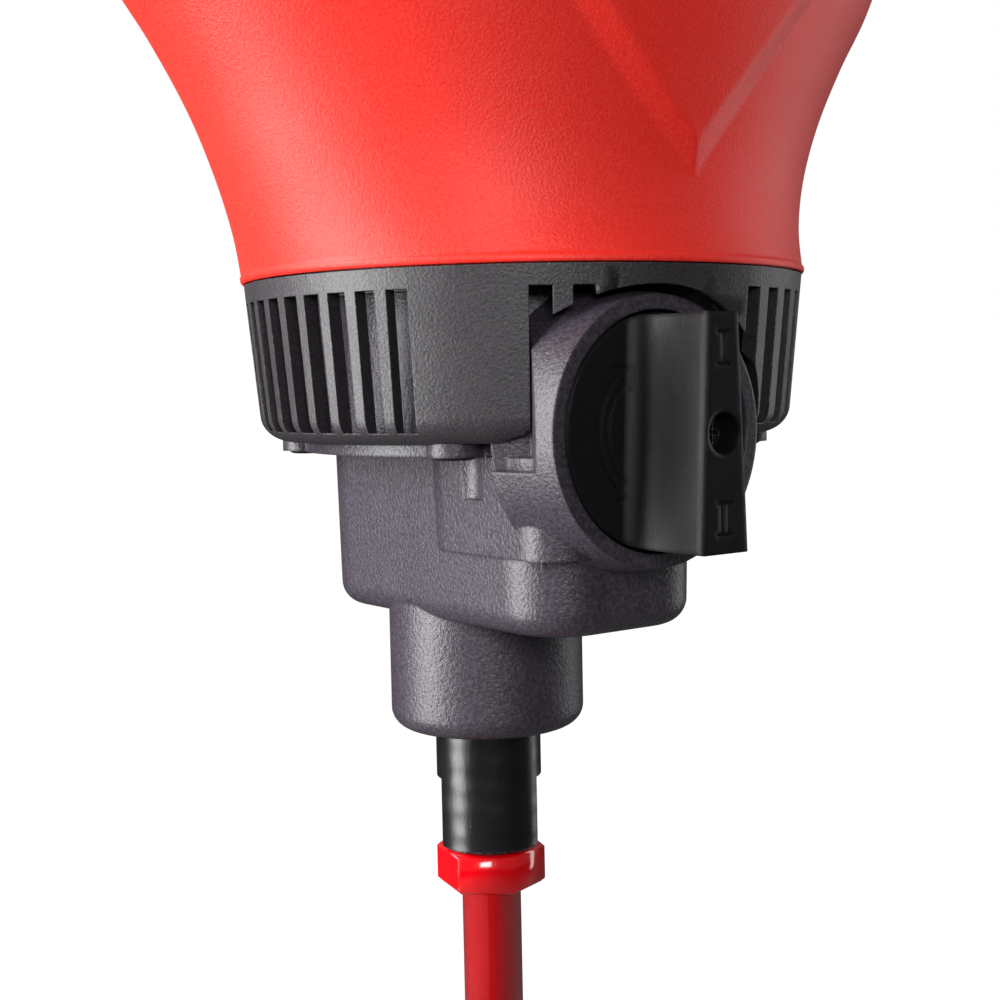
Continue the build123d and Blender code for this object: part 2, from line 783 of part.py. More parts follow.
fan_low = deck + 22.0
fan_height = 16.0
with BuildPart() as cooling_fan:
    with BuildSketch(level(fan_low)):
        ring_face(45, 7.0)
    extrude(amount=2)
    with BuildSketch(level(fan_low)):
        ring_face(12, 7.0)
    extrude(amount=fan_height)
    with BuildSketch(level(fan_low + 2)):
        with PolarLocations(32, 15):
            Rectangle(24, 1.6, rotation=20)
    extrude(amount=fan_height - 4)

with BuildPart() as stator_core:
    with BuildSketch(level(core_low)):
        ring_face(stator_radius, stator_bore)
        for way in (0, 180):
            with PolarLocations(38.5, 1, start_angle=way + 62):
                Rectangle(9, 14, mode=Mode.SUBTRACT)
            with PolarLocations(38.5, 1, start_angle=way - 62):
                Rectangle(9, 14, mode=Mode.SUBTRACT)
    extrude(amount=core_high - core_low)

with BuildPart() as field_windings:
    for low in (core_low - 12, core_high):
        with BuildSketch(level(low)):
            ring_face(44, 33)
        extrude(amount=12)
    fillet(field_windings.edges().filter_by(GeomType.CIRCLE), 3)

baffle_height = fan_low + fan_height + 4
with BuildPart() as air_baffle:
    with BuildSketch(level(baffle_height)):
        ring_face(54.0, 36.0)
    extrude(amount=2)
    with BuildSketch(level(baffle_height)):
        ring_face(37.5, 36.0)
    extrude(amount=6)

brush_height = core_high + 21.5
with BuildPart() as brush_holders:
    for way in (1, -1):
        with BuildSketch(Plane.XZ.offset(-way * 17)):
            with Locations((0, brush_height)):
                Rectangle(13, 16)
                Rectangle(8.2, 11.2, mode=Mode.SUBTRACT)
        extrude(amount=-way * 24)

with BuildPart() as carbon_brushes:
    for way in (1, -1):
        with BuildSketch(Plane.XZ.offset(-way * 15.4)):
            with Locations((0, brush_height)):
                Rectangle(8, 11)
        extrude(amount=-way * 14)

bridge_low = deck + 168.0
with BuildPart() as bearing_bridge:
    with BuildSketch(level(bridge_low)):
        ring_face(50.5, 4.6)
        with PolarLocations(36, 6):
            Circle(8, mode=Mode.SUBTRACT)
    extrude(amount=4)
    with BuildSketch(level(bridge_low)):
        ring_face(16, 4.6)
    extrude(amount=17)
    with BuildSketch(level(bridge_low + 6)):
        ring_face(11)
    extrude(amount=20, mode=Mode.SUBTRACT)


def race_pair(races):
    """Outer race, and inner race with its balls, of each bearing: (shaft, bore, outer, low, high)."""
    with BuildPart() as outers:
        for at, bore, outer, low, high in races:
            with BuildSketch(level(low, at)):
                ring_face(outer, outer - (outer - bore) * 0.26)
            extrude(amount=high - low)
    with BuildPart() as inners:
        for at, bore, outer, low, high in races:
            ball = (outer - bore) * 0.235
            middle = (outer + bore) / 2
            with BuildSketch(level(low, at)):
                ring_face(bore + (outer - bore) * 0.26, bore)
            extrude(amount=high - low)
            with Locations((at[0], at[1], (low + high) / 2)):
                with PolarLocations(middle, 8):
                    Sphere(ball)
    return outers, inners


armature_outer_races, armature_inner_races = race_pair(
    [(motor, 6.0, motor_race, deck + 5.6, deck + 14.9), (motor, 4.0, 11.0, bridge_low + 6.2, bridge_low + 14)]
)
lower_bearing_low, upper_bearing_low = neck_bottom + 6.2, case_floor + 1.2
spindle_outer_races, spindle_inner_races = race_pair(
    [
        (spindle, 8.5, lower_race, lower_bearing_low, lower_bearing_low + 9.3),
        (spindle, 7.5, upper_race, upper_bearing_low, upper_bearing_low + 9),
    ]
)

spindle_seal = tube(spindle, lower_race, spindle_radius + 0.15, neck_bottom + 0.4, neck_bottom + 5.9)

# ---- gear shafts ----
with BuildPart() as first_gear:
    with BuildSketch(level(first_level[0], idler)):
        gear_face(first_teeth, motor_module, idler_phase, 4.2)
    extrude(amount=first_level[1] - first_level[0])

idler_shaft_blank = turned(
    idler,
    (0, pocket + 6.4),
    (idler_journal, pocket + 6.4),
    (idler_journal, middle_level[0] - 0.8),
    (4.2, middle_level[0] - 0.8),
    (4.2, deck - 4.4),
    (idler_journal, deck - 4.4),
    (idler_journal, deck + 2.6),
    (0, deck + 2.6),
)
countershaft_phase = meshing_phase(idler, idler_phase, middle_pinion_teeth, countershaft, middle_teeth)
with BuildPart() as idler_pinion_shaft:
    add(idler_shaft_blank.part)
    with BuildSketch(level(middle_level[0] - 0.4, idler)):
        gear_face(middle_pinion_teeth, middle_module, idler_phase)
    extrude(amount=5.8)

with BuildPart() as middle_gear:
    with BuildSketch(level(middle_level[0], countershaft)):
        gear_face(middle_teeth, middle_module, countershaft_phase, 5.0)
    extrude(amount=middle_level[1] - middle_level[0])

countershaft_blank = turned(
    countershaft,
    (0, case_floor + 5),
    (countershaft_journal, case_floor + 5),
    (countershaft_journal, high_level[0] - 0.6),
    (5.0, high_level[0] - 0.6),
    (5.0, deck - 10.4),
    (countershaft_journal, deck - 10.4),
    (countershaft_journal, deck + 2.6),
    (0, deck + 2.6),
)
low_phase = meshing_phase(countershaft, countershaft_phase, low_pinion_teeth, spindle, low_teeth)
high_phase = meshing_phase(countershaft, countershaft_phase, high_pinion_teeth, spindle, high_teeth)
with BuildPart() as countershaft_pinions:
    add(countershaft_blank.part)
    with BuildSketch(level(low_level[0] - 0.5, countershaft)):
        gear_face(low_pinion_teeth, last_module, countershaft_phase)
    extrude(amount=low_level[1] - low_level[0] + 0.8)
    with BuildSketch(level(high_level[0] - 0.3, countershaft)):
        gear_face(high_pinion_teeth, last_module, countershaft_phase)
    extrude(amount=high_level[1] - high_level[0] + 0.6)

# dog teeth: five on each gear face, and five on each end of the collar between them
dog_count, dog_height, dog_inner, dog_outer = 5, 3.0, 9.6, 13.2
dog_half = radians(12)


def dog_sector(start):
    """One dog tooth in plan, centred on the direction start."""
    corners = []
    for radius, angles in ((dog_inner, (-1, 1)), (dog_outer, (1, 0, -1))):
        for turn in angles:
            angle = start + turn * dog_half
            corners.append((radius * cos(angle), radius * sin(angle)))
    Polygon(*corners, align=None)


gear_dogs = [2 * pi * n / dog_count for n in range(dog_count)]
collar_dogs = [angle + pi / dog_count for angle in gear_dogs]
shaft_at_gears = 8.0
with BuildPart() as low_gear:
    with BuildSketch(level(low_level[0], spindle)):
        gear_face(low_teeth, last_module, low_phase, shaft_at_gears)
    extrude(amount=low_level[1] - low_level[0])
    with BuildSketch(level(low_level[0], spindle)):
        for angle in gear_dogs:
            dog_sector(angle)
    extrude(amount=-dog_height)

with BuildPart() as high_gear:
    with BuildSketch(level(high_level[0], spindle)):
        gear_face(high_teeth, last_module, high_phase, shaft_at_gears + running)
    extrude(amount=high_level[1] - high_level[0])
    with BuildSketch(level(high_level[1], spindle)):
        for angle in gear_dogs:
            dog_sector(angle)
    extrude(amount=dog_height)

collar_low, collar_high = deck - 37.3, deck - 29.3
groove_middle = (collar_low + collar_high) / 2
spline_half_width = 1.6
with BuildPart() as shift_collar:
    with BuildSketch(level(collar_low, spindle)):
        ring_face(13.4, shaft_at_gears + running)
        with PolarLocations(shaft_at_gears + 0.6, 4):
            Rectangle(2.4, 2 * spline_half_width + 0.1, mode=Mode.SUBTRACT)
    extrude(amount=collar_high - collar_low)
    with BuildSketch(level(groove_middle - 1.7, spindle)):
        ring_face(14, 10.6)
    extrude(amount=3.4, mode=Mode.SUBTRACT)
    for face, direction in ((collar_high, 1), (collar_low, -1)):
        with BuildSketch(level(face, spindle)):
            for angle in collar_dogs:
                dog_sector(angle)
        extrude(amount=direction * dog_height)

thread_radius = 5.9  # core of the M14 socket
with BuildPart() as output_spindle:
    with BuildSketch(side(spindle)):
        filled(
            (0, spindle_end),
            (spindle_radius - 0.6, spindle_end),
            (spindle_radius, spindle_end + 0.6),
            (spindle_radius, neck_bottom + 6),
            (8.5, neck_bottom + 6),
            (8.5, case_floor - 2),
            (7.5, case_floor - 2),
            (7.5, high_level[0] - 3),
            (shaft_at_gears, high_level[0] - 3),
            (shaft_at_gears, low_level[1] + 0.6),
            (5.4, low_level[1] + 0.6),
            (5.4, deck - 4.6),
            (spindle_journal, deck - 4.6),
            (spindle_journal, deck + 2.4),
            (0, deck + 2.4),
        )
    revolve(axis=upright(spindle))
    # spanner flats, with the step they leave on the shaft
    flats_top = deck - 114.0
    with BuildSketch(level(spindle_end - 1, spindle)):
        Circle(spindle_radius + 2)
        Rectangle(wrench_size, 40, rotation=-36.5, mode=Mode.SUBTRACT)
    extrude(amount=flats_top - spindle_end + 1, mode=Mode.SUBTRACT)
    with BuildSketch(level(spindle_end, spindle)):
        Circle(7.0)
    extrude(amount=22, mode=Mode.SUBTRACT)
    with BuildSketch(level(collar_low - 8, spindle)):
        with PolarLocations(shaft_at_gears, 4):
            Rectangle(2.2, 2 * spline_half_width - 0.1)
    extrude(amount=low_level[0] - dog_height - collar_low + 8)

with BuildPart() as spindle_clips:
    for height in (high_level[0] - 2.2, low_level[1] + 0.2):
        with BuildSketch(level(height, spindle)):
            ring_face(10.6, shaft_at_gears)
            with Locations((9, 0)):
                Rectangle(5, 2.2, mode=Mode.SUBTRACT)
        extrude(amount=1.2 if height < deck - 30 else 0.4)

# ---- gear selector ----
pin_radius = 2.0
with BuildPart() as selector_shaft:
    with BuildSketch(across(-54.8)):
        Circle(5.0)
    extrude(amount=-19.8)
    with BuildSketch(across(-36)):
        with Locations((0, knob_throw)):
            Circle(pin_radius)
    extrude(amount=-9.8)

bar_half, bar_face = 23.0, -78.5
bar_narrow, bar_wide = 4.3, 6.4
arrow_radius = 14.3
with BuildPart() as thumb_bar:
    # pointed bar: narrow at the end marked I, wide at the end marked II
    for end, half in ((-bar_half, bar_wide), (bar_half, bar_narrow)):
        with BuildSketch(Plane(origin=(spindle_x, 0, knob_height + end), x_dir=(1, 0, 0), z_dir=(0, 0, 1))):
            with BuildLine():
                Line((half + 4.5, -59.5), (-half - 4.5, -59.5))
                Spline((-half - 4.5, -59.5), (-half - 0.9, -62.5), (-half + 0.5, -69.5), (-half, bar_face + 1.0))
                RadiusArc((-half, bar_face + 1.0), (-half + 1.0, bar_face), -1.0)
                Line((-half + 1.0, bar_face), (half - 1.0, bar_face))
                RadiusArc((half - 1.0, bar_face), (half, bar_face + 1.0), -1.0)
                Spline((half, bar_face + 1.0), (half - 0.5, -69.5), (half + 0.9, -62.5), (half + 4.5, -59.5))
            make_face()
    loft(ruled=True)

with BuildPart() as selector_knob:
    with BuildSketch(across(-55.0)):
        Circle(23.7)
    extrude(amount=5.0)
    add(thumb_bar.part)
    with BuildSketch(across(-54)):
        Circle(23.7)
    extrude(amount=30, mode=Mode.INTERSECT)
    with BuildSketch(across(bar_face)):
        Circle(4.1)
    extrude(amount=-6.5, mode=Mode.SUBTRACT)
    # engraved speed marks and turning arrow
    with BuildSketch(across(bar_face)):
        with Locations((0, 16.2)):
            Rectangle(0.7, 6.0)
        with Locations((0, 19.2), (0, 13.2)):
            Rectangle(3.4, 0.7)
        with Locations((-0.9, -16.2), (0.9, -16.2)):
            Rectangle(0.7, 6.0)
        with Locations((0, -19.2), (0, -13.2)):
            Rectangle(4.4, 0.7)
    extrude(amount=-0.45, mode=Mode.SUBTRACT)
    with BuildSketch(across(-60)):
        for middle in (arrow_radius - 1.1, arrow_radius + 1.1):
            with BuildLine():
                CenterArc((0, 0), middle - 0.2, 132, 96)
                CenterArc((0, 0), middle + 0.2, 132, 96)
                for end in (132, 228):
                    Line(
                        ((middle - 0.2) * cos(radians(end)), (middle - 0.2) * sin(radians(end))),
                        ((middle + 0.2) * cos(radians(end)), (middle + 0.2) * sin(radians(end))),
                    )
            make_face()
        for end, tip in ((132, 117), (228, 243)):
            for way in (-3.4, 3.4):
                root_x = (arrow_radius + way) * cos(radians(end))
                root_z = (arrow_radius + way) * sin(radians(end))
                tip_x, tip_z = arrow_radius * cos(radians(tip)), arrow_radius * sin(radians(tip))
                run = hypot(tip_x - root_x, tip_z - root_z)
                turn = atan2(tip_z - root_z, tip_x - root_x) * 180 / pi
                with Locations(Location(((tip_x + root_x) / 2, (tip_z + root_z) / 2, 0), (0, 0, turn))):
                    Rectangle(run, 0.4)
    extrude(amount=-0.35, mode=Mode.SUBTRACT)

with BuildPart() as knob_screw:
    with BuildSketch(across(bar_face + 6.4)):
        Circle(3.7)
    extrude(amount=2.6)
    fillet(knob_screw.edges().group_by(Axis.Y)[0], 1.2)
    with BuildSketch(across(bar_face + 3.7)):
        Rectangle(0.9, 4.2)
        Rectangle(4.2, 0.9)
    extrude(amount=-1.6, mode=Mode.SUBTRACT)

with BuildPart() as shift_rail:
    with BuildSketch(level(case_floor + 5.4, rail)):
        Circle(2.5)
    extrude(amount=deck - 5 - case_floor - 5.4)

pin_height = knob_height + knob_throw
with BuildPart() as shift_fork:
    with BuildSketch(level(groove_middle - 1.4, spindle)):
        with Locations((0, -17)):
            Rectangle(24, 26)
        Circle(18.0)
        Circle(11.0, mode=Mode.SUBTRACT)
        with Locations((0, 12)):
            Rectangle(22, 24, mode=Mode.SUBTRACT)
    extrude(amount=2.8)
    with BuildSketch(level(groove_middle - 5, rail)):
        Circle(5.3)
    extrude(amount=10)
    with BuildSketch(across(-30)):
        with Locations((0, knob_throw)):
            Rectangle(18, 15)
    extrude(amount=-3.4)
    with BuildSketch(across(-31)):
        with Locations((0, knob_throw)):
            Rectangle(2 * (pin_radius + knob_throw) + 1.6, 2 * pin_radius + 2.2)
    extrude(amount=-5.2, mode=Mode.SUBTRACT)
    with BuildSketch(level(groove_middle - 10, rail)):
        Circle(2.5 + running)
    extrude(amount=30, mode=Mode.SUBTRACT)

# ---- mixing paddle ----
hex_top, hex_bottom = spindle_end - 0.3, deck - 140.0
hex_turn = -71.5
screwed_in = 20.0  # length of the rod's thread inside the spindle
rod_bottom = paddle_bottom + 1.5
with BuildPart() as paddle_rod:
    with BuildSketch(level(hex_bottom, spindle)):
        RegularPolygon(wrench_size / sqrt(3), 6, rotation=hex_turn)
    extrude(amount=hex_top - hex_bottom)
    chamfer(paddle_rod.edges().group_by(Axis.Z)[0] + paddle_rod.edges().group_by(Axis.Z)[-1], 0.9)
    with BuildSketch(level(rod_bottom, spindle)):
        Circle(rod_radius)
    extrude(amount=hex_bottom - rod_bottom)
    with BuildSketch(level(hex_top, spindle)):
        Circle(thread_radius)
    extrude(amount=screwed_in)

# paddle head: a ring at each end on spokes, and three blades that climb from ring to ring
ring_wire = 5.0
cage_low, cage_high = paddle_bottom + ring_wire, paddle_bottom + 125.0
blade_turn, blade_width, blade_thickness = 170.0, 14.0, 4.0
blade_rise = cage_high - cage_low
hub_wall, hub_height, spoke_size = 4.5, 14.0, 7.0
spoke_length = paddle_radius - ring_wire - rod_radius - 1
spoke_middle = rod_radius + 1 + spoke_length / 2
with BuildPart() as blade:
    with BuildLine() as climb:
        Helix(blade_rise * 360 / blade_turn, blade_rise, paddle_radius - blade_width / 2)
    with BuildSketch(Plane(origin=climb.line @ 0, z_dir=climb.line % 0, x_dir=(1, 0, 0))):
        Rectangle(blade_width, blade_thickness)
    sweep(is_frenet=True)

with BuildPart() as paddle_head:
    for height, start in ((cage_low, 0.0), (cage_high, blade_turn)):
        with BuildSketch(side(spindle)):
            with Locations((paddle_radius - ring_wire, height)):
                Circle(ring_wire)
        revolve(axis=upright(spindle))
        with BuildSketch(level(height - spoke_size / 2, spindle)):
            with PolarLocations(spoke_middle, 3, start_angle=start):
                Rectangle(spoke_length, spoke_size)
        extrude(amount=spoke_size)
        hub_low = max(height - hub_height / 2, paddle_bottom)
        with BuildSketch(level(hub_low, spindle)):
            Circle(rod_radius + hub_wall)
        extrude(amount=hub_height)
    for number in range(3):
        with Locations(Location((spindle_x, 0, cage_low), (0, 0, 120 * number))):
            add(blade.part)
    with BuildSketch(level(rod_bottom, spindle)):
        Circle(rod_radius)
    extrude(amount=cage_high + hub_height - rod_bottom, mode=Mode.SUBTRACT)

pieces = {
    "motor_bell": motor_bell,
    "front_housing": front_housing,
    "rear_housing": rear_housing,
    "right_grip": right_grip,
    "left_grip": left_grip,
    "trigger": trigger,
    "trigger_spring": trigger_spring,
    "lock_button": lock_button,
    "switch_body": switch_body,
    "speed_dial": speed_dial,
    "electronics_module": electronics_module,
    "top_cap": top_cap,
    "cable_bush": cable_bush,
    "vent_ring": vent_ring,
    "gear_case": gear_case,
    "gear_case_cover": gear_case_cover,
    "gear_bushes": gear_bushes,
    "ring_screws": ring_screws,
    "cover_screws": cover_bolts,
    "cap_screws": cap_screws,
    "clamshell_screws": clamp_bolts,
    "armature_shaft": armature_pinion_shaft,
    "armature_core": armature_core,
    "armature_windings": armature_windings,
    "commutator": commutator,
    "cooling_fan": cooling_fan,
    "stator_core": stator_core,
    "field_windings": field_windings,
    "air_baffle": air_baffle,
    "brush_holders": brush_holders,
    "carbon_brushes": carbon_brushes,
    "bearing_bridge": bearing_bridge,
    "armature_outer_races": armature_outer_races,
    "armature_inner_races": armature_inner_races,
    "spindle_outer_races": spindle_outer_races,
    "spindle_inner_races": spindle_inner_races,
    "spindle_seal": spindle_seal,
    "first_gear": first_gear,
    "idler_pinion_shaft": idler_pinion_shaft,
    "middle_gear": middle_gear,
    "countershaft_pinions": countershaft_pinions,
    "low_gear": low_gear,
    "high_gear": high_gear,
    "shift_collar": shift_collar,
    "output_spindle": output_spindle,
    "spindle_clips": spindle_clips,
    "selector_shaft": selector_shaft,
    "selector_knob": selector_knob,
    "knob_screw": knob_screw,
    "shift_rail": shift_rail,
    "shift_fork": shift_fork,
    "paddle_rod": paddle_rod,
    "paddle_head": paddle_head,
}
for name, piece in pieces.items():
    piece.part.label = name
    export_step(piece.part, f"parts/{name}.step")
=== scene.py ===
import json
import math
import bmesh
import bpy
from mathutils import Matrix, Vector


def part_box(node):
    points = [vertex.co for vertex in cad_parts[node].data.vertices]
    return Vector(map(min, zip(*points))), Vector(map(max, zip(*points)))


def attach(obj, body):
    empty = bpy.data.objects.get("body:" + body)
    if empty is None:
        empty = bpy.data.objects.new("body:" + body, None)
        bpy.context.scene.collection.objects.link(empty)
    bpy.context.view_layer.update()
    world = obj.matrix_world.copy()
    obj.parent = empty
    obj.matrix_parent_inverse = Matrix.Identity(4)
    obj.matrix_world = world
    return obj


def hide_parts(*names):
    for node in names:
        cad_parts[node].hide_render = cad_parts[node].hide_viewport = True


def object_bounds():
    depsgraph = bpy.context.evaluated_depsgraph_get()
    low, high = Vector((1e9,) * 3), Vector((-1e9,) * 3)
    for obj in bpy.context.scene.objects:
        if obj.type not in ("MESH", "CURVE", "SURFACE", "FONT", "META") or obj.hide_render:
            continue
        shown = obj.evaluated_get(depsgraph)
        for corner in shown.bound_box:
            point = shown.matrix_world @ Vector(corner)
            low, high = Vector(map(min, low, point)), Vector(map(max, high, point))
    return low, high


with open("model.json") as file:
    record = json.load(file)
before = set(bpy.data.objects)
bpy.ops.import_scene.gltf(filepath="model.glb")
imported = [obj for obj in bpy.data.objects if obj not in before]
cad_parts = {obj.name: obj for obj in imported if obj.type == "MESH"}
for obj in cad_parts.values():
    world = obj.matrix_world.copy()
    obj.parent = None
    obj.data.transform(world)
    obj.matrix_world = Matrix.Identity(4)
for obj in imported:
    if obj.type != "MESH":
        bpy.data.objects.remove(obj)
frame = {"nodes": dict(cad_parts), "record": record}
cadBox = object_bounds()
nodes = frame["nodes"]
print("frame loaded,", len(nodes), "nodes")

# sizes are millimetres unless a note says otherwise
perMetre = 1000
# detail of each pattern, shared by every finish
patterns = {
    "mottle": {"Detail": 5.0, "Roughness": 0.6},
    "paintedGlint": {"Detail": 1.0, "Roughness": 0.5},
    "smudge": {"Detail": 6.0, "Roughness": 0.65},
    "noise": {"Detail": 2.0, "Roughness": 0.55},
    "rings": {"bands_direction": "Z", "Distortion": 0.6, "Detail": 2.0, "Detail Scale": 3.0},
    "cells": {"feature": "SMOOTH_F1", "Smoothness": 0.6},
    "scratches": {"Detail": 3.0},
    "scratchStretch": {"Scale": (1, 9, 1), "Rotation": (0.3, 0.2, 0.7)},
    "patch": {"Detail": 4.0, "Roughness": 0.7},
}
# (from, to) cuts that turn a pattern into a share
cuts = {
    "paintedGlint": (0.35, 0.68), "smudge": (0.3, 0.7), "scratches": (0.62, 0.7), "edge": (0.995, 0.93),
    "patch": 0.04,  # from the wear's own cut to full
}
bevelSamples = 4
waveRate = 20  # radians that a wave pattern turns in each unit at scale 1


def linear(hexText):
    parts = [int(hexText[i:i + 2], 16) / 255 for i in (1, 3, 5)]
    return [c / 12.92 if c <= 0.04045 else ((c + 0.055) / 1.055) ** 2.4 for c in parts] + [1.0]


def addNode(tree, kind, settings=None, links=None):
    node = tree.nodes.new(kind)
    for key, value in (settings or {}).items():
        if isinstance(key, int) or key in [s.name for s in node.inputs]:
            node.inputs[key].default_value = value
        else:
            setattr(node, key, value)
    for key, source in (links or {}).items():
        tree.links.new(source, node.inputs[key])
    return node


def mixOver(tree, colour, hexText, share):
    paint = {"data_type": "RGBA", 7: linear(hexText)}
    return addNode(tree, "ShaderNodeMix", paint, {0: share, 6: colour}).outputs[2]


def baseColour(tree, place, look):
    settings = {**patterns["mottle"], "Scale": perMetre / look["mottle"]}
    mottle = addNode(tree, "ShaderNodeTexNoise", settings, {"Vector": place}).outputs[0]
    paint = {"data_type": "RGBA", 6: linear(look["colour"]), 7: linear(look["tint"])}
    colour = addNode(tree, "ShaderNodeMix", paint, {0: mottle}).outputs[2]
    if "paintedGlint" in look:
        # painted glints: the pits and peaks of the grain catch the light one by one, painted in as tiny
        # lighter points at random
        size, depth, glintColour = look["paintedGlint"]
        settings = {**patterns["paintedGlint"], "Scale": perMetre / size}
        glintDots = addNode(tree, "ShaderNodeTexNoise", settings, {"Vector": place}).outputs[0]
        low, high = cuts["paintedGlint"]
        span = {"From Min": low, "From Max": high, "To Min": 0.0, "To Max": depth}
        share = addNode(tree, "ShaderNodeMapRange", span, {0: glintDots}).outputs[0]
        colour = mixOver(tree, colour, glintColour, share)
    return colour


def smudgedGloss(tree, place, look):
    settings = {**patterns["smudge"], "Scale": perMetre / look["smudge"]}
    smudge = addNode(tree, "ShaderNodeTexNoise", settings, {"Vector": place}).outputs[0]
    low, high = cuts["smudge"]
    span = {"From Min": low, "From Max": high, "To Min": look["gloss"][0], "To Max": look["gloss"][1]}
    return addNode(tree, "ShaderNodeMapRange", span, {0: smudge}).outputs[0]


def grainHeight(tree, place, kind, size):
    scale = perMetre / size
    if kind == "rings":
        # a ring's size is millimetres for each radian of its wave
        settings = {**patterns[kind], "Scale": scale / waveRate}
        return addNode(tree, "ShaderNodeTexWave", settings, {"Vector": place}).outputs[1]
    if kind == "cells":
        settings = {**patterns[kind], "Scale": scale}
        return addNode(tree, "ShaderNodeTexVoronoi", settings, {"Vector": place}).outputs[0]
    if kind == "scratches":
        stretch = patterns["scratchStretch"]
        stretched = addNode(tree, "ShaderNodeMapping", stretch, {"Vector": place}).outputs[0]
        settings = {**patterns[kind], "Scale": scale}
        lines = addNode(tree, "ShaderNodeTexNoise", settings, {"Vector": stretched}).outputs[0]
        low, high = cuts["scratches"]
        return addNode(tree, "ShaderNodeMapRange", {"From Min": low, "From Max": high}, {0: lines}).outputs[0]
    settings = {**patterns["noise"], "Scale": scale}
    return addNode(tree, "ShaderNodeTexNoise", settings, {"Vector": place}).outputs[0]


def grainBump(tree, place, look):
    bevel = {"samples": bevelSamples, "Radius": look["edge"] / perMetre}
    bump = addNode(tree, "ShaderNodeBevel", bevel).outputs[0]
    for kind, size, depth in look["grains"]:
        height = grainHeight(tree, place, kind, size)
        settings = {"Strength": 1.0, "Distance": depth / perMetre}
        bump = addNode(tree, "ShaderNodeBump", settings, {"Height": height, "Normal": bump}).outputs[0]
    return bump


def wornEdges(tree, place, wear):
    # rubbed edges are where the rounded normal leaves the flat one, broken up by a noise
    flat = addNode(tree, "ShaderNodeNewGeometry").outputs["Normal"]
    bevel = {"samples": bevelSamples, "Radius": wear["width"] / perMetre}
    wide = addNode(tree, "ShaderNodeBevel", bevel).outputs[0]
    dot = {"operation": "DOT_PRODUCT"}
    same = addNode(tree, "ShaderNodeVectorMath", dot, {0: flat, 1: wide}).outputs[1]
    settings = {**patterns["patch"], "Scale": perMetre / wear["patch"]}
    patchy = addNode(tree, "ShaderNodeTexNoise", settings, {"Vector": place}).outputs[0]
    low, high = cuts["edge"]
    edge = addNode(tree, "ShaderNodeMapRange", {"From Min": low, "From Max": high}, {0: same}).outputs[0]
    span = {"From Min": wear["from"], "From Max": wear["from"] + cuts["patch"]}
    broken = addNode(tree, "ShaderNodeMapRange", span, {0: patchy}).outputs[0]
    return addNode(tree, "ShaderNodeMath", {"operation": "MULTIPLY"}, {0: edge, 1: broken}).outputs[0]


def makeFinish(name, look):
    material = bpy.data.materials.new(name)
    material.use_nodes = True
    tree = material.node_tree
    shader = tree.nodes["Principled BSDF"]
    for socket, value in look["shader"].items():
        shader.inputs[socket].default_value = value
    place = addNode(tree, "ShaderNodeTexCoord").outputs["Object"]
    colour = baseColour(tree, place, look)
    if "wear" in look:
        colour = mixOver(tree, colour, look["wear"]["colour"], wornEdges(tree, place, look["wear"]))
    tree.links.new(colour, shader.inputs["Base Color"])
    tree.links.new(smudgedGloss(tree, place, look), shader.inputs["Roughness"])
    tree.links.new(grainBump(tree, place, look), shader.inputs["Normal"])
    return material
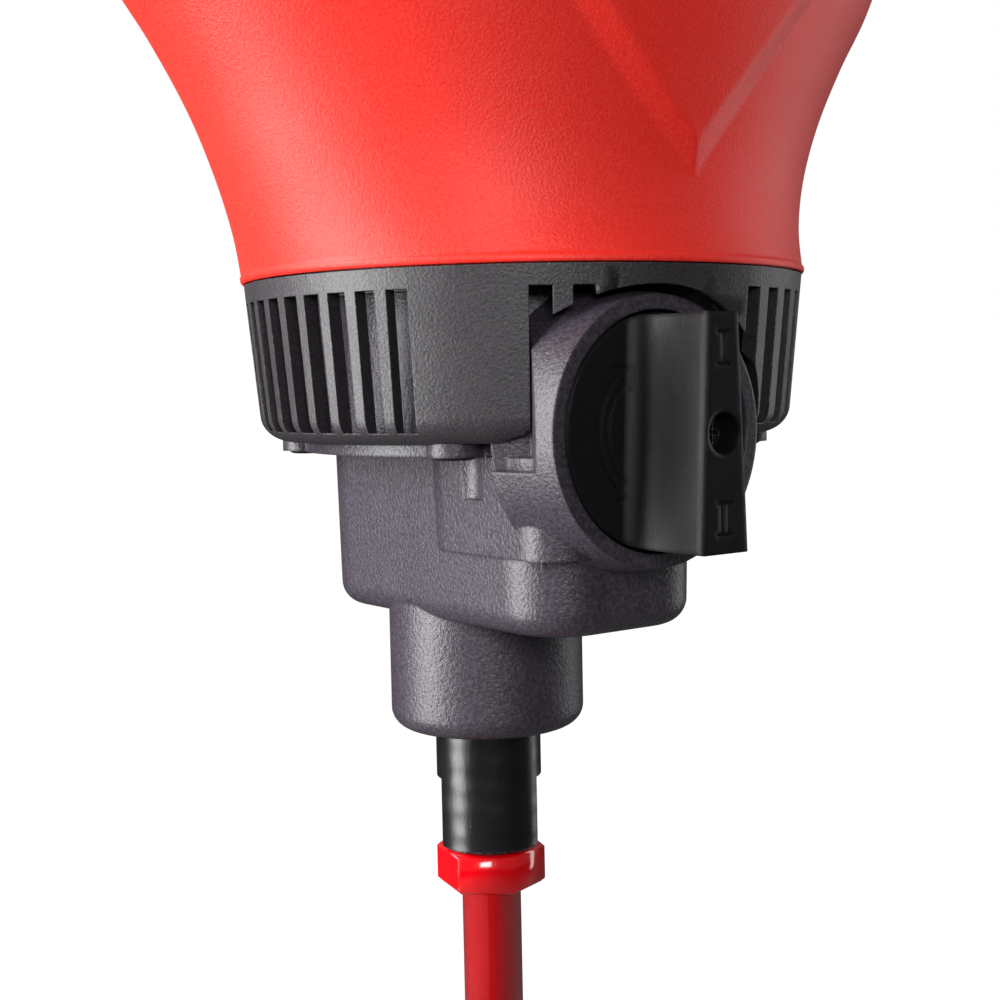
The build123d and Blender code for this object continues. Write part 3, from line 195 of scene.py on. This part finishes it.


# mottle and smudge are pattern sizes, gloss is the roughness range, edge is the rounding of the corners,
# the painted glints are (size, share, colour) and each grain is (kind, size, depth)
finishes = {
    # spark-eroded nylon moulding: a fine grain that scatters the highlights wide, with its sparkle painted in
    # as lighter glints
    "redShellNylon": {
        "colour": "#F02A20", "tint": "#E5221A", "mottle": 60, "smudge": 35,
        "gloss": (0.4, 0.5), "edge": 0.5,
        "shader": {"IOR": 1.53, "Specular IOR Level": 0.3}, "paintedGlint": (0.5, 0.22, "#FF5A48"),
        "grains": [("noise", 0.6, 0.1), ("noise", 0.35, 0.05)],
    },
    # glass-filled black nylon with a fine grain: dull charcoal that greys towards the light, with painted
    # glints as lighter grey points
    "blackRingNylon": {
        "colour": "#262326", "tint": "#1F1D20", "mottle": 30, "smudge": 25,
        "gloss": (0.4, 0.5), "edge": 0.35,
        "shader": {"IOR": 1.53}, "paintedGlint": (0.5, 0.3, "#514A52"), "grains": [("noise", 0.6, 0.12)],
        "wear": {"width": 0.5, "patch": 0.8, "from": 0.56, "colour": "#6A666A"},
    },
    # powder-coated die casting: orange peel that breaks the highlight into small soft beads, with painted
    # glints as lighter points
    "powderCoatedCasting": {
        "colour": "#322D35", "tint": "#28242B", "mottle": 24, "smudge": 30,
        "gloss": (0.34, 0.44), "edge": 0.8,
        "shader": {"IOR": 1.5}, "paintedGlint": (0.8, 0.35, "#5A525E"),
        "grains": [("noise", 0.8, 0.16), ("noise", 0.45, 0.07)],
    },
    # satin nylon knob: smoother than the ring, near black, with long soft highlights on the bar
    "satinKnobNylon": {
        "colour": "#171617", "tint": "#111011", "mottle": 12, "smudge": 10,
        "gloss": (0.36, 0.5), "edge": 1.6,
        "shader": {"IOR": 1.46, "Specular IOR Level": 0.22},
        "grains": [("noise", 0.4, 0.02), ("scratches", 5, 0.01)],
    },
    # moulded soft rubber sleeve: pebbled and dull, with hardly a highlight
    "softGripRubber": {
        "colour": "#1D1D1F", "tint": "#262628", "mottle": 20, "smudge": 12,
        "gloss": (0.6, 0.78), "edge": 0.4,
        "shader": {"IOR": 1.5}, "grains": [("cells", 0.9, 0.05)],
    },
    # moulded nylon trigger and lock button: plain black with a weak soft sheen
    "blackButtonNylon": {
        "colour": "#1F1F20", "tint": "#171718", "mottle": 12, "smudge": 9,
        "gloss": (0.35, 0.5), "edge": 0.4,
        "shader": {"IOR": 1.5}, "grains": [("noise", 0.4, 0.02)],
    },
    # grained nylon cap: pebbled dark grey that stays dull from every side
    "grainedCapNylon": {
        "colour": "#2A292B", "tint": "#202022", "mottle": 25, "smudge": 20,
        "gloss": (0.42, 0.55), "edge": 0.4,
        "shader": {"IOR": 1.53}, "grains": [("cells", 0.8, 0.05)],
    },
    # moulded rubber bush: flat black with faint smudges
    "bushRubber": {
        "colour": "#1A1A1B", "tint": "#232324", "mottle": 9, "smudge": 8, "gloss": (0.55, 0.7), "edge": 0.3,
        "shader": {"IOR": 1.5}, "grains": [("noise", 0.5, 0.02)],
    },
    # black-oxided steel screw: near black, with a metal glint on its rim
    "blackOxideScrewSteel": {
        "colour": "#26241F", "tint": "#3A3632", "mottle": 2, "smudge": 3, "gloss": (0.3, 0.45), "edge": 0.2,
        "shader": {"Metallic": 0.85}, "grains": [("noise", 0.5, 0.01)],
        "wear": {"width": 0.25, "patch": 0.5, "from": 0.45, "colour": "#8A857E"},
    },
    # zinc-plated steel: pale cool grey with faint dull stains
    "zincPlatedSteel": {
        "colour": "#B9BAC0", "tint": "#A3A199", "mottle": 4, "smudge": 4, "gloss": (0.25, 0.4), "edge": 0.2,
        "shader": {"Metallic": 1.0}, "grains": [("noise", 0.4, 0.005)],
    },
    # turned and black-oxided steel: tool rings, drawn coarser than real ones, that ripple the upright streak
    "turnedBlackSteel": {
        "colour": "#121113", "tint": "#1C1B1D", "mottle": 5, "smudge": 6,
        "gloss": (0.24, 0.36), "edge": 0.3,
        "shader": {"Metallic": 0.35, "IOR": 1.6},
        "grains": [("rings", 0.85, 0.07), ("scratches", 6, 0.01)],
        "wear": {"width": 0.35, "patch": 0.7, "from": 0.5, "colour": "#77746F"},
    },
    # hobbed gear steel: mid grey with faint cut bands and a soft shine
    "hobbedGearSteel": {
        "colour": "#8F8D8B", "tint": "#6F6D6A", "mottle": 3, "smudge": 3,
        "gloss": (0.28, 0.42), "edge": 0.15,
        "shader": {"Metallic": 1.0}, "grains": [("rings", 0.5, 0.006), ("noise", 0.6, 0.006)],
    },
    # ground bearing steel: nearly a mirror, with very faint grinding bands
    "groundBearingSteel": {
        "colour": "#C9C9CC", "tint": "#B5B6BA", "mottle": 6, "smudge": 4,
        "gloss": (0.08, 0.18), "edge": 0.2,
        "shader": {"Metallic": 1.0}, "grains": [("rings", 0.4, 0.002)],
    },
    # pressed and sintered bronze: brown gold, porous and dull
    "sinteredBronze": {
        "colour": "#A8793F", "tint": "#8A5F30", "mottle": 2, "smudge": 3, "gloss": (0.4, 0.55), "edge": 0.2,
        "shader": {"Metallic": 1.0}, "grains": [("cells", 0.5, 0.02)],
    },
    # stacked core sheets: bands all the way up, drawn coarser than the sheets so that they show
    "laminatedCoreSteel": {
        "colour": "#6A6866", "tint": "#524F4D", "mottle": 4, "smudge": 4, "gloss": (0.4, 0.55), "edge": 0.2,
        "shader": {"Metallic": 1.0}, "grains": [("rings", 0.7, 0.06)],
    },
    # wound enamelled copper wire: red-brown rows, drawn coarser than the wire, with a varnish shine
    "enamelledCopperWire": {
        "colour": "#B0562A", "tint": "#8E3F1C", "mottle": 2, "smudge": 3,
        "gloss": (0.22, 0.35), "edge": 0.3,
        "shader": {"Metallic": 0.9}, "grains": [("rings", 0.9, 0.12)],
    },
    # glass-filled nylon moulding inside: plain mid-dark grey
    "innerGlassNylon": {
        "colour": "#3A3A3C", "tint": "#2E2E30", "mottle": 8, "smudge": 8, "gloss": (0.45, 0.6), "edge": 0.3,
        "shader": {"IOR": 1.53}, "grains": [("noise", 0.5, 0.03)],
    },
    # pressed and baked carbon block: sooty grey with a grainy face
    "pressedCarbon": {
        "colour": "#232323", "tint": "#303030", "mottle": 1, "smudge": 2, "gloss": (0.5, 0.7), "edge": 0.2,
        "shader": {"IOR": 1.6}, "grains": [("cells", 0.4, 0.02)],
    },
    # raw die-cast aluminium: light grey skin with soft flow ripples
    "rawDieCastAluminium": {
        "colour": "#A9AAAC", "tint": "#8E8F91", "mottle": 8, "smudge": 6, "gloss": (0.35, 0.5), "edge": 0.4,
        "shader": {"Metallic": 1.0}, "grains": [("noise", 0.9, 0.04)],
    },
    # moulded nitrile rubber: brown black with a slightly greasy sheen
    "nitrileSealRubber": {
        "colour": "#231C1A", "tint": "#1A1514", "mottle": 4, "smudge": 4, "gloss": (0.45, 0.6), "edge": 0.2,
        "shader": {"IOR": 1.52}, "grains": [("noise", 0.4, 0.01)],
    },
    # drawn spring steel wire: smooth and bright grey
    "drawnSpringSteel": {
        "colour": "#9A9A9C", "tint": "#808083", "mottle": 2, "smudge": 2, "gloss": (0.2, 0.32), "edge": 0.1,
        "shader": {"Metallic": 1.0}, "grains": [("noise", 0.3, 0.003)],
    },
    # gloss enamel over steel: wet-looking red with soft orange peel, chipped to dull steel on its corners
    "glossRedEnamel": {
        "colour": "#D8000E", "tint": "#C4000C", "mottle": 20, "smudge": 10,
        "gloss": (0.12, 0.22), "edge": 0.5,
        "shader": {"IOR": 1.5, "Coat Weight": 0.6, "Coat Roughness": 0.06},
        "grains": [("noise", 2.5, 0.03)],
        "wear": {"width": 0.9, "patch": 1.3, "from": 0.6, "colour": "#6E6A66"},
    },
}
slotFinish = {
    "red_shell": "redShellNylon", "black_vent_plastic": "blackRingNylon",
    "cast_housing": "powderCoatedCasting", "black_knob": "satinKnobNylon",
    "grip_rubber": "softGripRubber", "black_button": "blackButtonNylon",
    "cap_plastic": "grainedCapNylon", "bush_rubber": "bushRubber", "screw_steel": "blackOxideScrewSteel",
    "zinc_steel": "zincPlatedSteel", "black_oxide_steel": "turnedBlackSteel", "gear_steel": "hobbedGearSteel",
    "bearing_steel": "groundBearingSteel", "bronze": "sinteredBronze", "core_steel": "laminatedCoreSteel",
    "copper_wire": "enamelledCopperWire", "inner_plastic": "innerGlassNylon", "carbon": "pressedCarbon",
    "cast_aluminium": "rawDieCastAluminium", "seal_rubber": "nitrileSealRubber",
    "spring_steel": "drawnSpringSteel", "red_paint": "glossRedEnamel",
}
made = {name: makeFinish(name, look) for name, look in finishes.items()}
for part in frame["record"]["subparts"]:
    mesh = nodes[part["node"]].data
    mesh.materials.clear()
    mesh.materials.append(made[slotFinish[part["material_slot"]]])
print("finishes made,", len(made))


def smooth(value, low, high):
    t = max(0.0, min(1.0, (value - low) / (high - low)))
    return t * t * (3 - 2 * t)


def between(table, height):
    # smooth curve through rows of (height, half width, half depth)
    k = max(i for i in range(len(table) - 1) if i == 0 or table[i][0] <= height)
    low, high = table[k], table[k + 1]
    span = high[0] - low[0]
    t = (height - low[0]) / span

    def slope(i, column):
        first, last = table[max(i - 1, 0)], table[min(i + 1, len(table) - 1)]
        return (last[column] - first[column]) / (last[0] - first[0])

    return [
        (2 * t ** 3 - 3 * t * t + 1) * low[c] + (t ** 3 - 2 * t * t + t) * span * slope(k, c)
        + (3 * t * t - 2 * t ** 3) * high[c] + (t ** 3 - t * t) * span * slope(k + 1, c)
        for c in (1, 2)
    ]


bell = {
    # rows of (height above the joint with the vent ring, half width from grip to grip, half depth)
    "outline": [
        (0, 64.3, 64.3), (11, 67.8, 59.6), (23, 72.6, 57.2), (36, 78.6, 57.8),
        (50, 87.0, 60.0), (63, 96.4, 62.0), (76, 104.0, 63.0),
    ],
    # closer rows round the lip, then one row for each rise
    "lipRows": [0.0, 0.15, 0.35, 0.6, 1.0, 1.4, 1.6, 1.8, 2.1],
    "around": 420, "rise": 0.6, "wall": 0.003,  # the wall is in metres
    "shieldTip": 17.0, "shieldSlope": 1.08, "shieldBand": 8.0, "shieldRaise": 1.9,
    "grooveDepth": 0.12, "grooveStart": -0.6, "grooveEnd": 0.8,
    "lipHeight": 1.4, "lipSize": 0.35, "lipFade": 0.5, "footTuck": 0.4, "footFade": 0.5,
}


def bellPoint(angle, height, joint):
    halfX, halfY = between(bell["outline"], height)
    x, y = halfX * math.cos(angle), halfY * math.sin(angle)
    outward = Vector((math.cos(angle) / halfX, math.sin(angle) / halfY, 0)).normalized()
    lift = 0.0
    if y < 0:
        # the raised vee on the knob's side, with a fine groove along its lower edge
        above = height - bell["shieldTip"] - bell["shieldSlope"] * abs(x)
        lift = bell["shieldRaise"] * max(0.0, min(1.0, above / bell["shieldBand"]))
        groove = smooth(above, bell["grooveStart"], 0) * (1 - smooth(above, 0, bell["grooveEnd"]))
        lift -= bell["grooveDepth"] * groove
    lift += bell["lipSize"] * (1 - smooth(height, bell["lipHeight"], bell["lipHeight"] + bell["lipFade"]))
    lift -= bell["footTuck"] * (1 - smooth(height, 0, bell["footFade"]))
    upward = Vector((0, 0, joint + height / perMetre))
    return Vector((x, y, 0)) / perMetre + outward * lift / perMetre + upward


def finishedPiece(name, shape, finish):
    data = bpy.data.meshes.new(name)
    shape.to_mesh(data)
    shape.free()
    for face in data.polygons:
        face.use_smooth = True
    data.materials.append(finish)
    piece = bpy.data.objects.new(name, data)
    bpy.context.scene.collection.objects.link(piece)
    return piece


def makeBell():
    low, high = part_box("motor_bell")
    joint = low.z
    tall = (high.z - joint) * perMetre
    shell = bmesh.new()
    bmesh.ops.create_circle(shell, segments=bell["around"], radius=1, cap_ends=False)
    # each point keeps its own turn, so that the rows stay straight above each other
    turn = shell.verts.layers.float.new("turn")
    heights = list(bell["lipRows"])
    while heights[-1] < tall - bell["rise"]:
        heights.append(heights[-1] + bell["rise"])
    heights.append(tall)
    edges = list(shell.edges)
    for v in shell.verts:
        v[turn] = math.atan2(v.co.y, v.co.x)
        v.co = bellPoint(v[turn], 0.0, joint)
    for height in heights[1:]:
        grown = bmesh.ops.extrude_edge_only(shell, edges=edges)["geom"]
        edges = [g for g in grown if isinstance(g, bmesh.types.BMEdge)]
        for v in [g for g in grown if isinstance(g, bmesh.types.BMVert)]:
            v.co = bellPoint(v[turn], height, joint)
    bmesh.ops.recalc_face_normals(shell, faces=shell.faces)
    piece = finishedPiece("motorBellShell", shell, made["redShellNylon"])
    wall = piece.modifiers.new("wall", "SOLIDIFY")
    wall.thickness = bell["wall"]
    wall.offset = -1
    return piece


bellPiece = makeBell()
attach(bellPiece, "housing")
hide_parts("motor_bell")
print("bell made")

mergeGap = 1e-6  # metres
sharpAngle = 32


def reshape(node, name, body, place):
    # a merged copy of the CAD node with each of its points put in its new place
    source = nodes[node].data
    copy = bmesh.new()
    copy.from_mesh(source)
    bmesh.ops.remove_doubles(copy, verts=copy.verts, dist=mergeGap)
    for v in copy.verts:
        v.co = place(v.co)
    piece = finishedPiece(name, copy, source.materials[0])
    piece.data.set_sharp_from_angle(angle=math.radians(sharpAngle))
    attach(piece, body)
    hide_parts(node)


ring = {"skirt": 0.888, "screwLift": 0.0044}  # share of the skirt's depth that is kept, and metres
paddle = {"hexTurn": 29.2}
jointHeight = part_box("motor_bell")[0].z
spindleLow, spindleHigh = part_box("output_spindle")
spindleAxis = Vector(((spindleLow.x + spindleHigh.x) / 2, (spindleLow.y + spindleHigh.y) / 2, 0))
turnOnly = Matrix.Rotation(math.radians(paddle["hexTurn"]), 4, "Z")
turnHex = Matrix.Translation(spindleAxis) @ turnOnly @ Matrix.Translation(-spindleAxis)


def shortenSkirt(point):
    return Vector((point.x, point.y, jointHeight + (point.z - jointHeight) * ring["skirt"]))


def liftScrews(point):
    return point + Vector((0, 0, ring["screwLift"]))


def turnRod(point):
    return turnHex @ point


reshape("vent_ring", "ventRingSkirt", "housing", shortenSkirt)
reshape("ring_screws", "ringPanScrews", "housing", liftScrews)
reshape("paddle_rod", "paddleRodPainted", "spindle", turnRod)
print("ring, screws and rod made")

# spot in metres, the turns in degrees, and the lens and its sensor in millimetres
shot = {
    "spot": (-0.2201, -0.2871, -0.1825), "heading": 36.5, "down": 4.47, "roll": 1.2,
    "lens": 55.4, "sensor": 36, "nearest": 0.01,
}
turn, down, roll = (math.radians(shot[key]) for key in ("heading", "down", "roll"))
across = Vector((math.cos(turn), -math.sin(turn), 0))
ahead = Vector((math.sin(turn) * math.cos(down), math.cos(turn) * math.cos(down), -math.sin(down)))
above = across.cross(ahead)
right = across * math.cos(roll) - above * math.sin(roll)
up = across * math.sin(roll) + above * math.cos(roll)
lensData = bpy.data.cameras.new("camera")
lensData.lens = shot["lens"]
lensData.sensor_width = shot["sensor"]
lensData.clip_start = shot["nearest"]
camera = bpy.data.objects.new("camera", lensData)
camera.matrix_world = Matrix.Translation(shot["spot"]) @ Matrix((right, up, -ahead)).transposed().to_4x4()
bpy.context.scene.collection.objects.link(camera)
bpy.context.scene.camera = camera

# metres for the floor, then shares of full white
stage = {"floorSize": 30, "drop": 0.001, "bounce": 0.16, "matt": 0.9, "sky": 0.16, "aim": (0, 0, -0.2)}
floorMesh = bmesh.new()
bmesh.ops.create_grid(floorMesh, x_segments=2, y_segments=2, size=stage["floorSize"])
floorData = bpy.data.meshes.new("floor")
floorMesh.to_mesh(floorData)
floorMesh.free()
floor = bpy.data.objects.new("floor", floorData)
floor.location.z = cadBox[0][2] - stage["drop"]
bpy.context.scene.collection.objects.link(floor)
paper = bpy.data.materials.new("whitePaper")
paper.use_nodes = True
paperShader = paper.node_tree.nodes["Principled BSDF"]
paperShader.inputs["Base Color"].default_value = (stage["bounce"], stage["bounce"], stage["bounce"], 1)
paperShader.inputs["Roughness"].default_value = stage["matt"]
paperShader.inputs["Emission Color"].default_value = (1, 1, 1, 1)
paperRays = addNode(paper.node_tree, "ShaderNodeLightPath").outputs["Is Camera Ray"]
glowSpan = {"To Min": 0.0, "To Max": 1.0}
paperGlow = addNode(paper.node_tree, "ShaderNodeMapRange", glowSpan, {0: paperRays}).outputs[0]
paper.node_tree.links.new(paperGlow, paperShader.inputs["Emission Strength"])
floorData.materials.append(paper)

# the sweep behind reads as white, while the room's own light stays low so the black parts keep their depth
world = bpy.data.worlds.new("studio")
world.use_nodes = True
sky = world.node_tree
rays = addNode(sky, "ShaderNodeLightPath").outputs["Is Camera Ray"]
skySpan = {"To Min": stage["sky"], "To Max": 1.0}
brightness = addNode(sky, "ShaderNodeMapRange", skySpan, {0: rays}).outputs[0]
sky.links.new(brightness, sky.nodes["Background"].inputs["Strength"])
sky.nodes["Background"].inputs["Color"].default_value = (1, 1, 1, 1)
bpy.context.scene.world = world
bpy.context.scene.view_settings.view_transform = "Standard"


def addSoftbox(name, spot, size, power):
    # spot is (to the right, towards the camera, up) in metres from the point that the lamps aim at
    middle = Vector(stage["aim"])
    data = bpy.data.lights.new(name, "AREA")
    data.shape = "RECTANGLE"
    data.size, data.size_y = size
    data.energy = power
    lamp = bpy.data.objects.new(name, data)
    level = Vector((ahead.x, ahead.y, 0)).normalized()
    lamp.location = middle + across * spot[0] - level * spot[1] + Vector((0, 0, spot[2]))
    lamp.rotation_euler = (middle - lamp.location).to_track_quat("-Z", "Y").to_euler()
    bpy.context.scene.collection.objects.link(lamp)


# spot, size in metres and power in watts
softboxes = {
    "leftBox": ((-0.85, 0.3, 0.15), (0.5, 1.2), 27),
    "frontBox": ((0.1, 1.25, 0.35), (0.4, 0.4), 8),
    "rightBox": ((0.9, -0.45, 0.1), (0.25, 1.1), 2.5),
}
for name, (spot, size, power) in softboxes.items():
    addSoftbox(name, spot, size, power)
print("stage set")
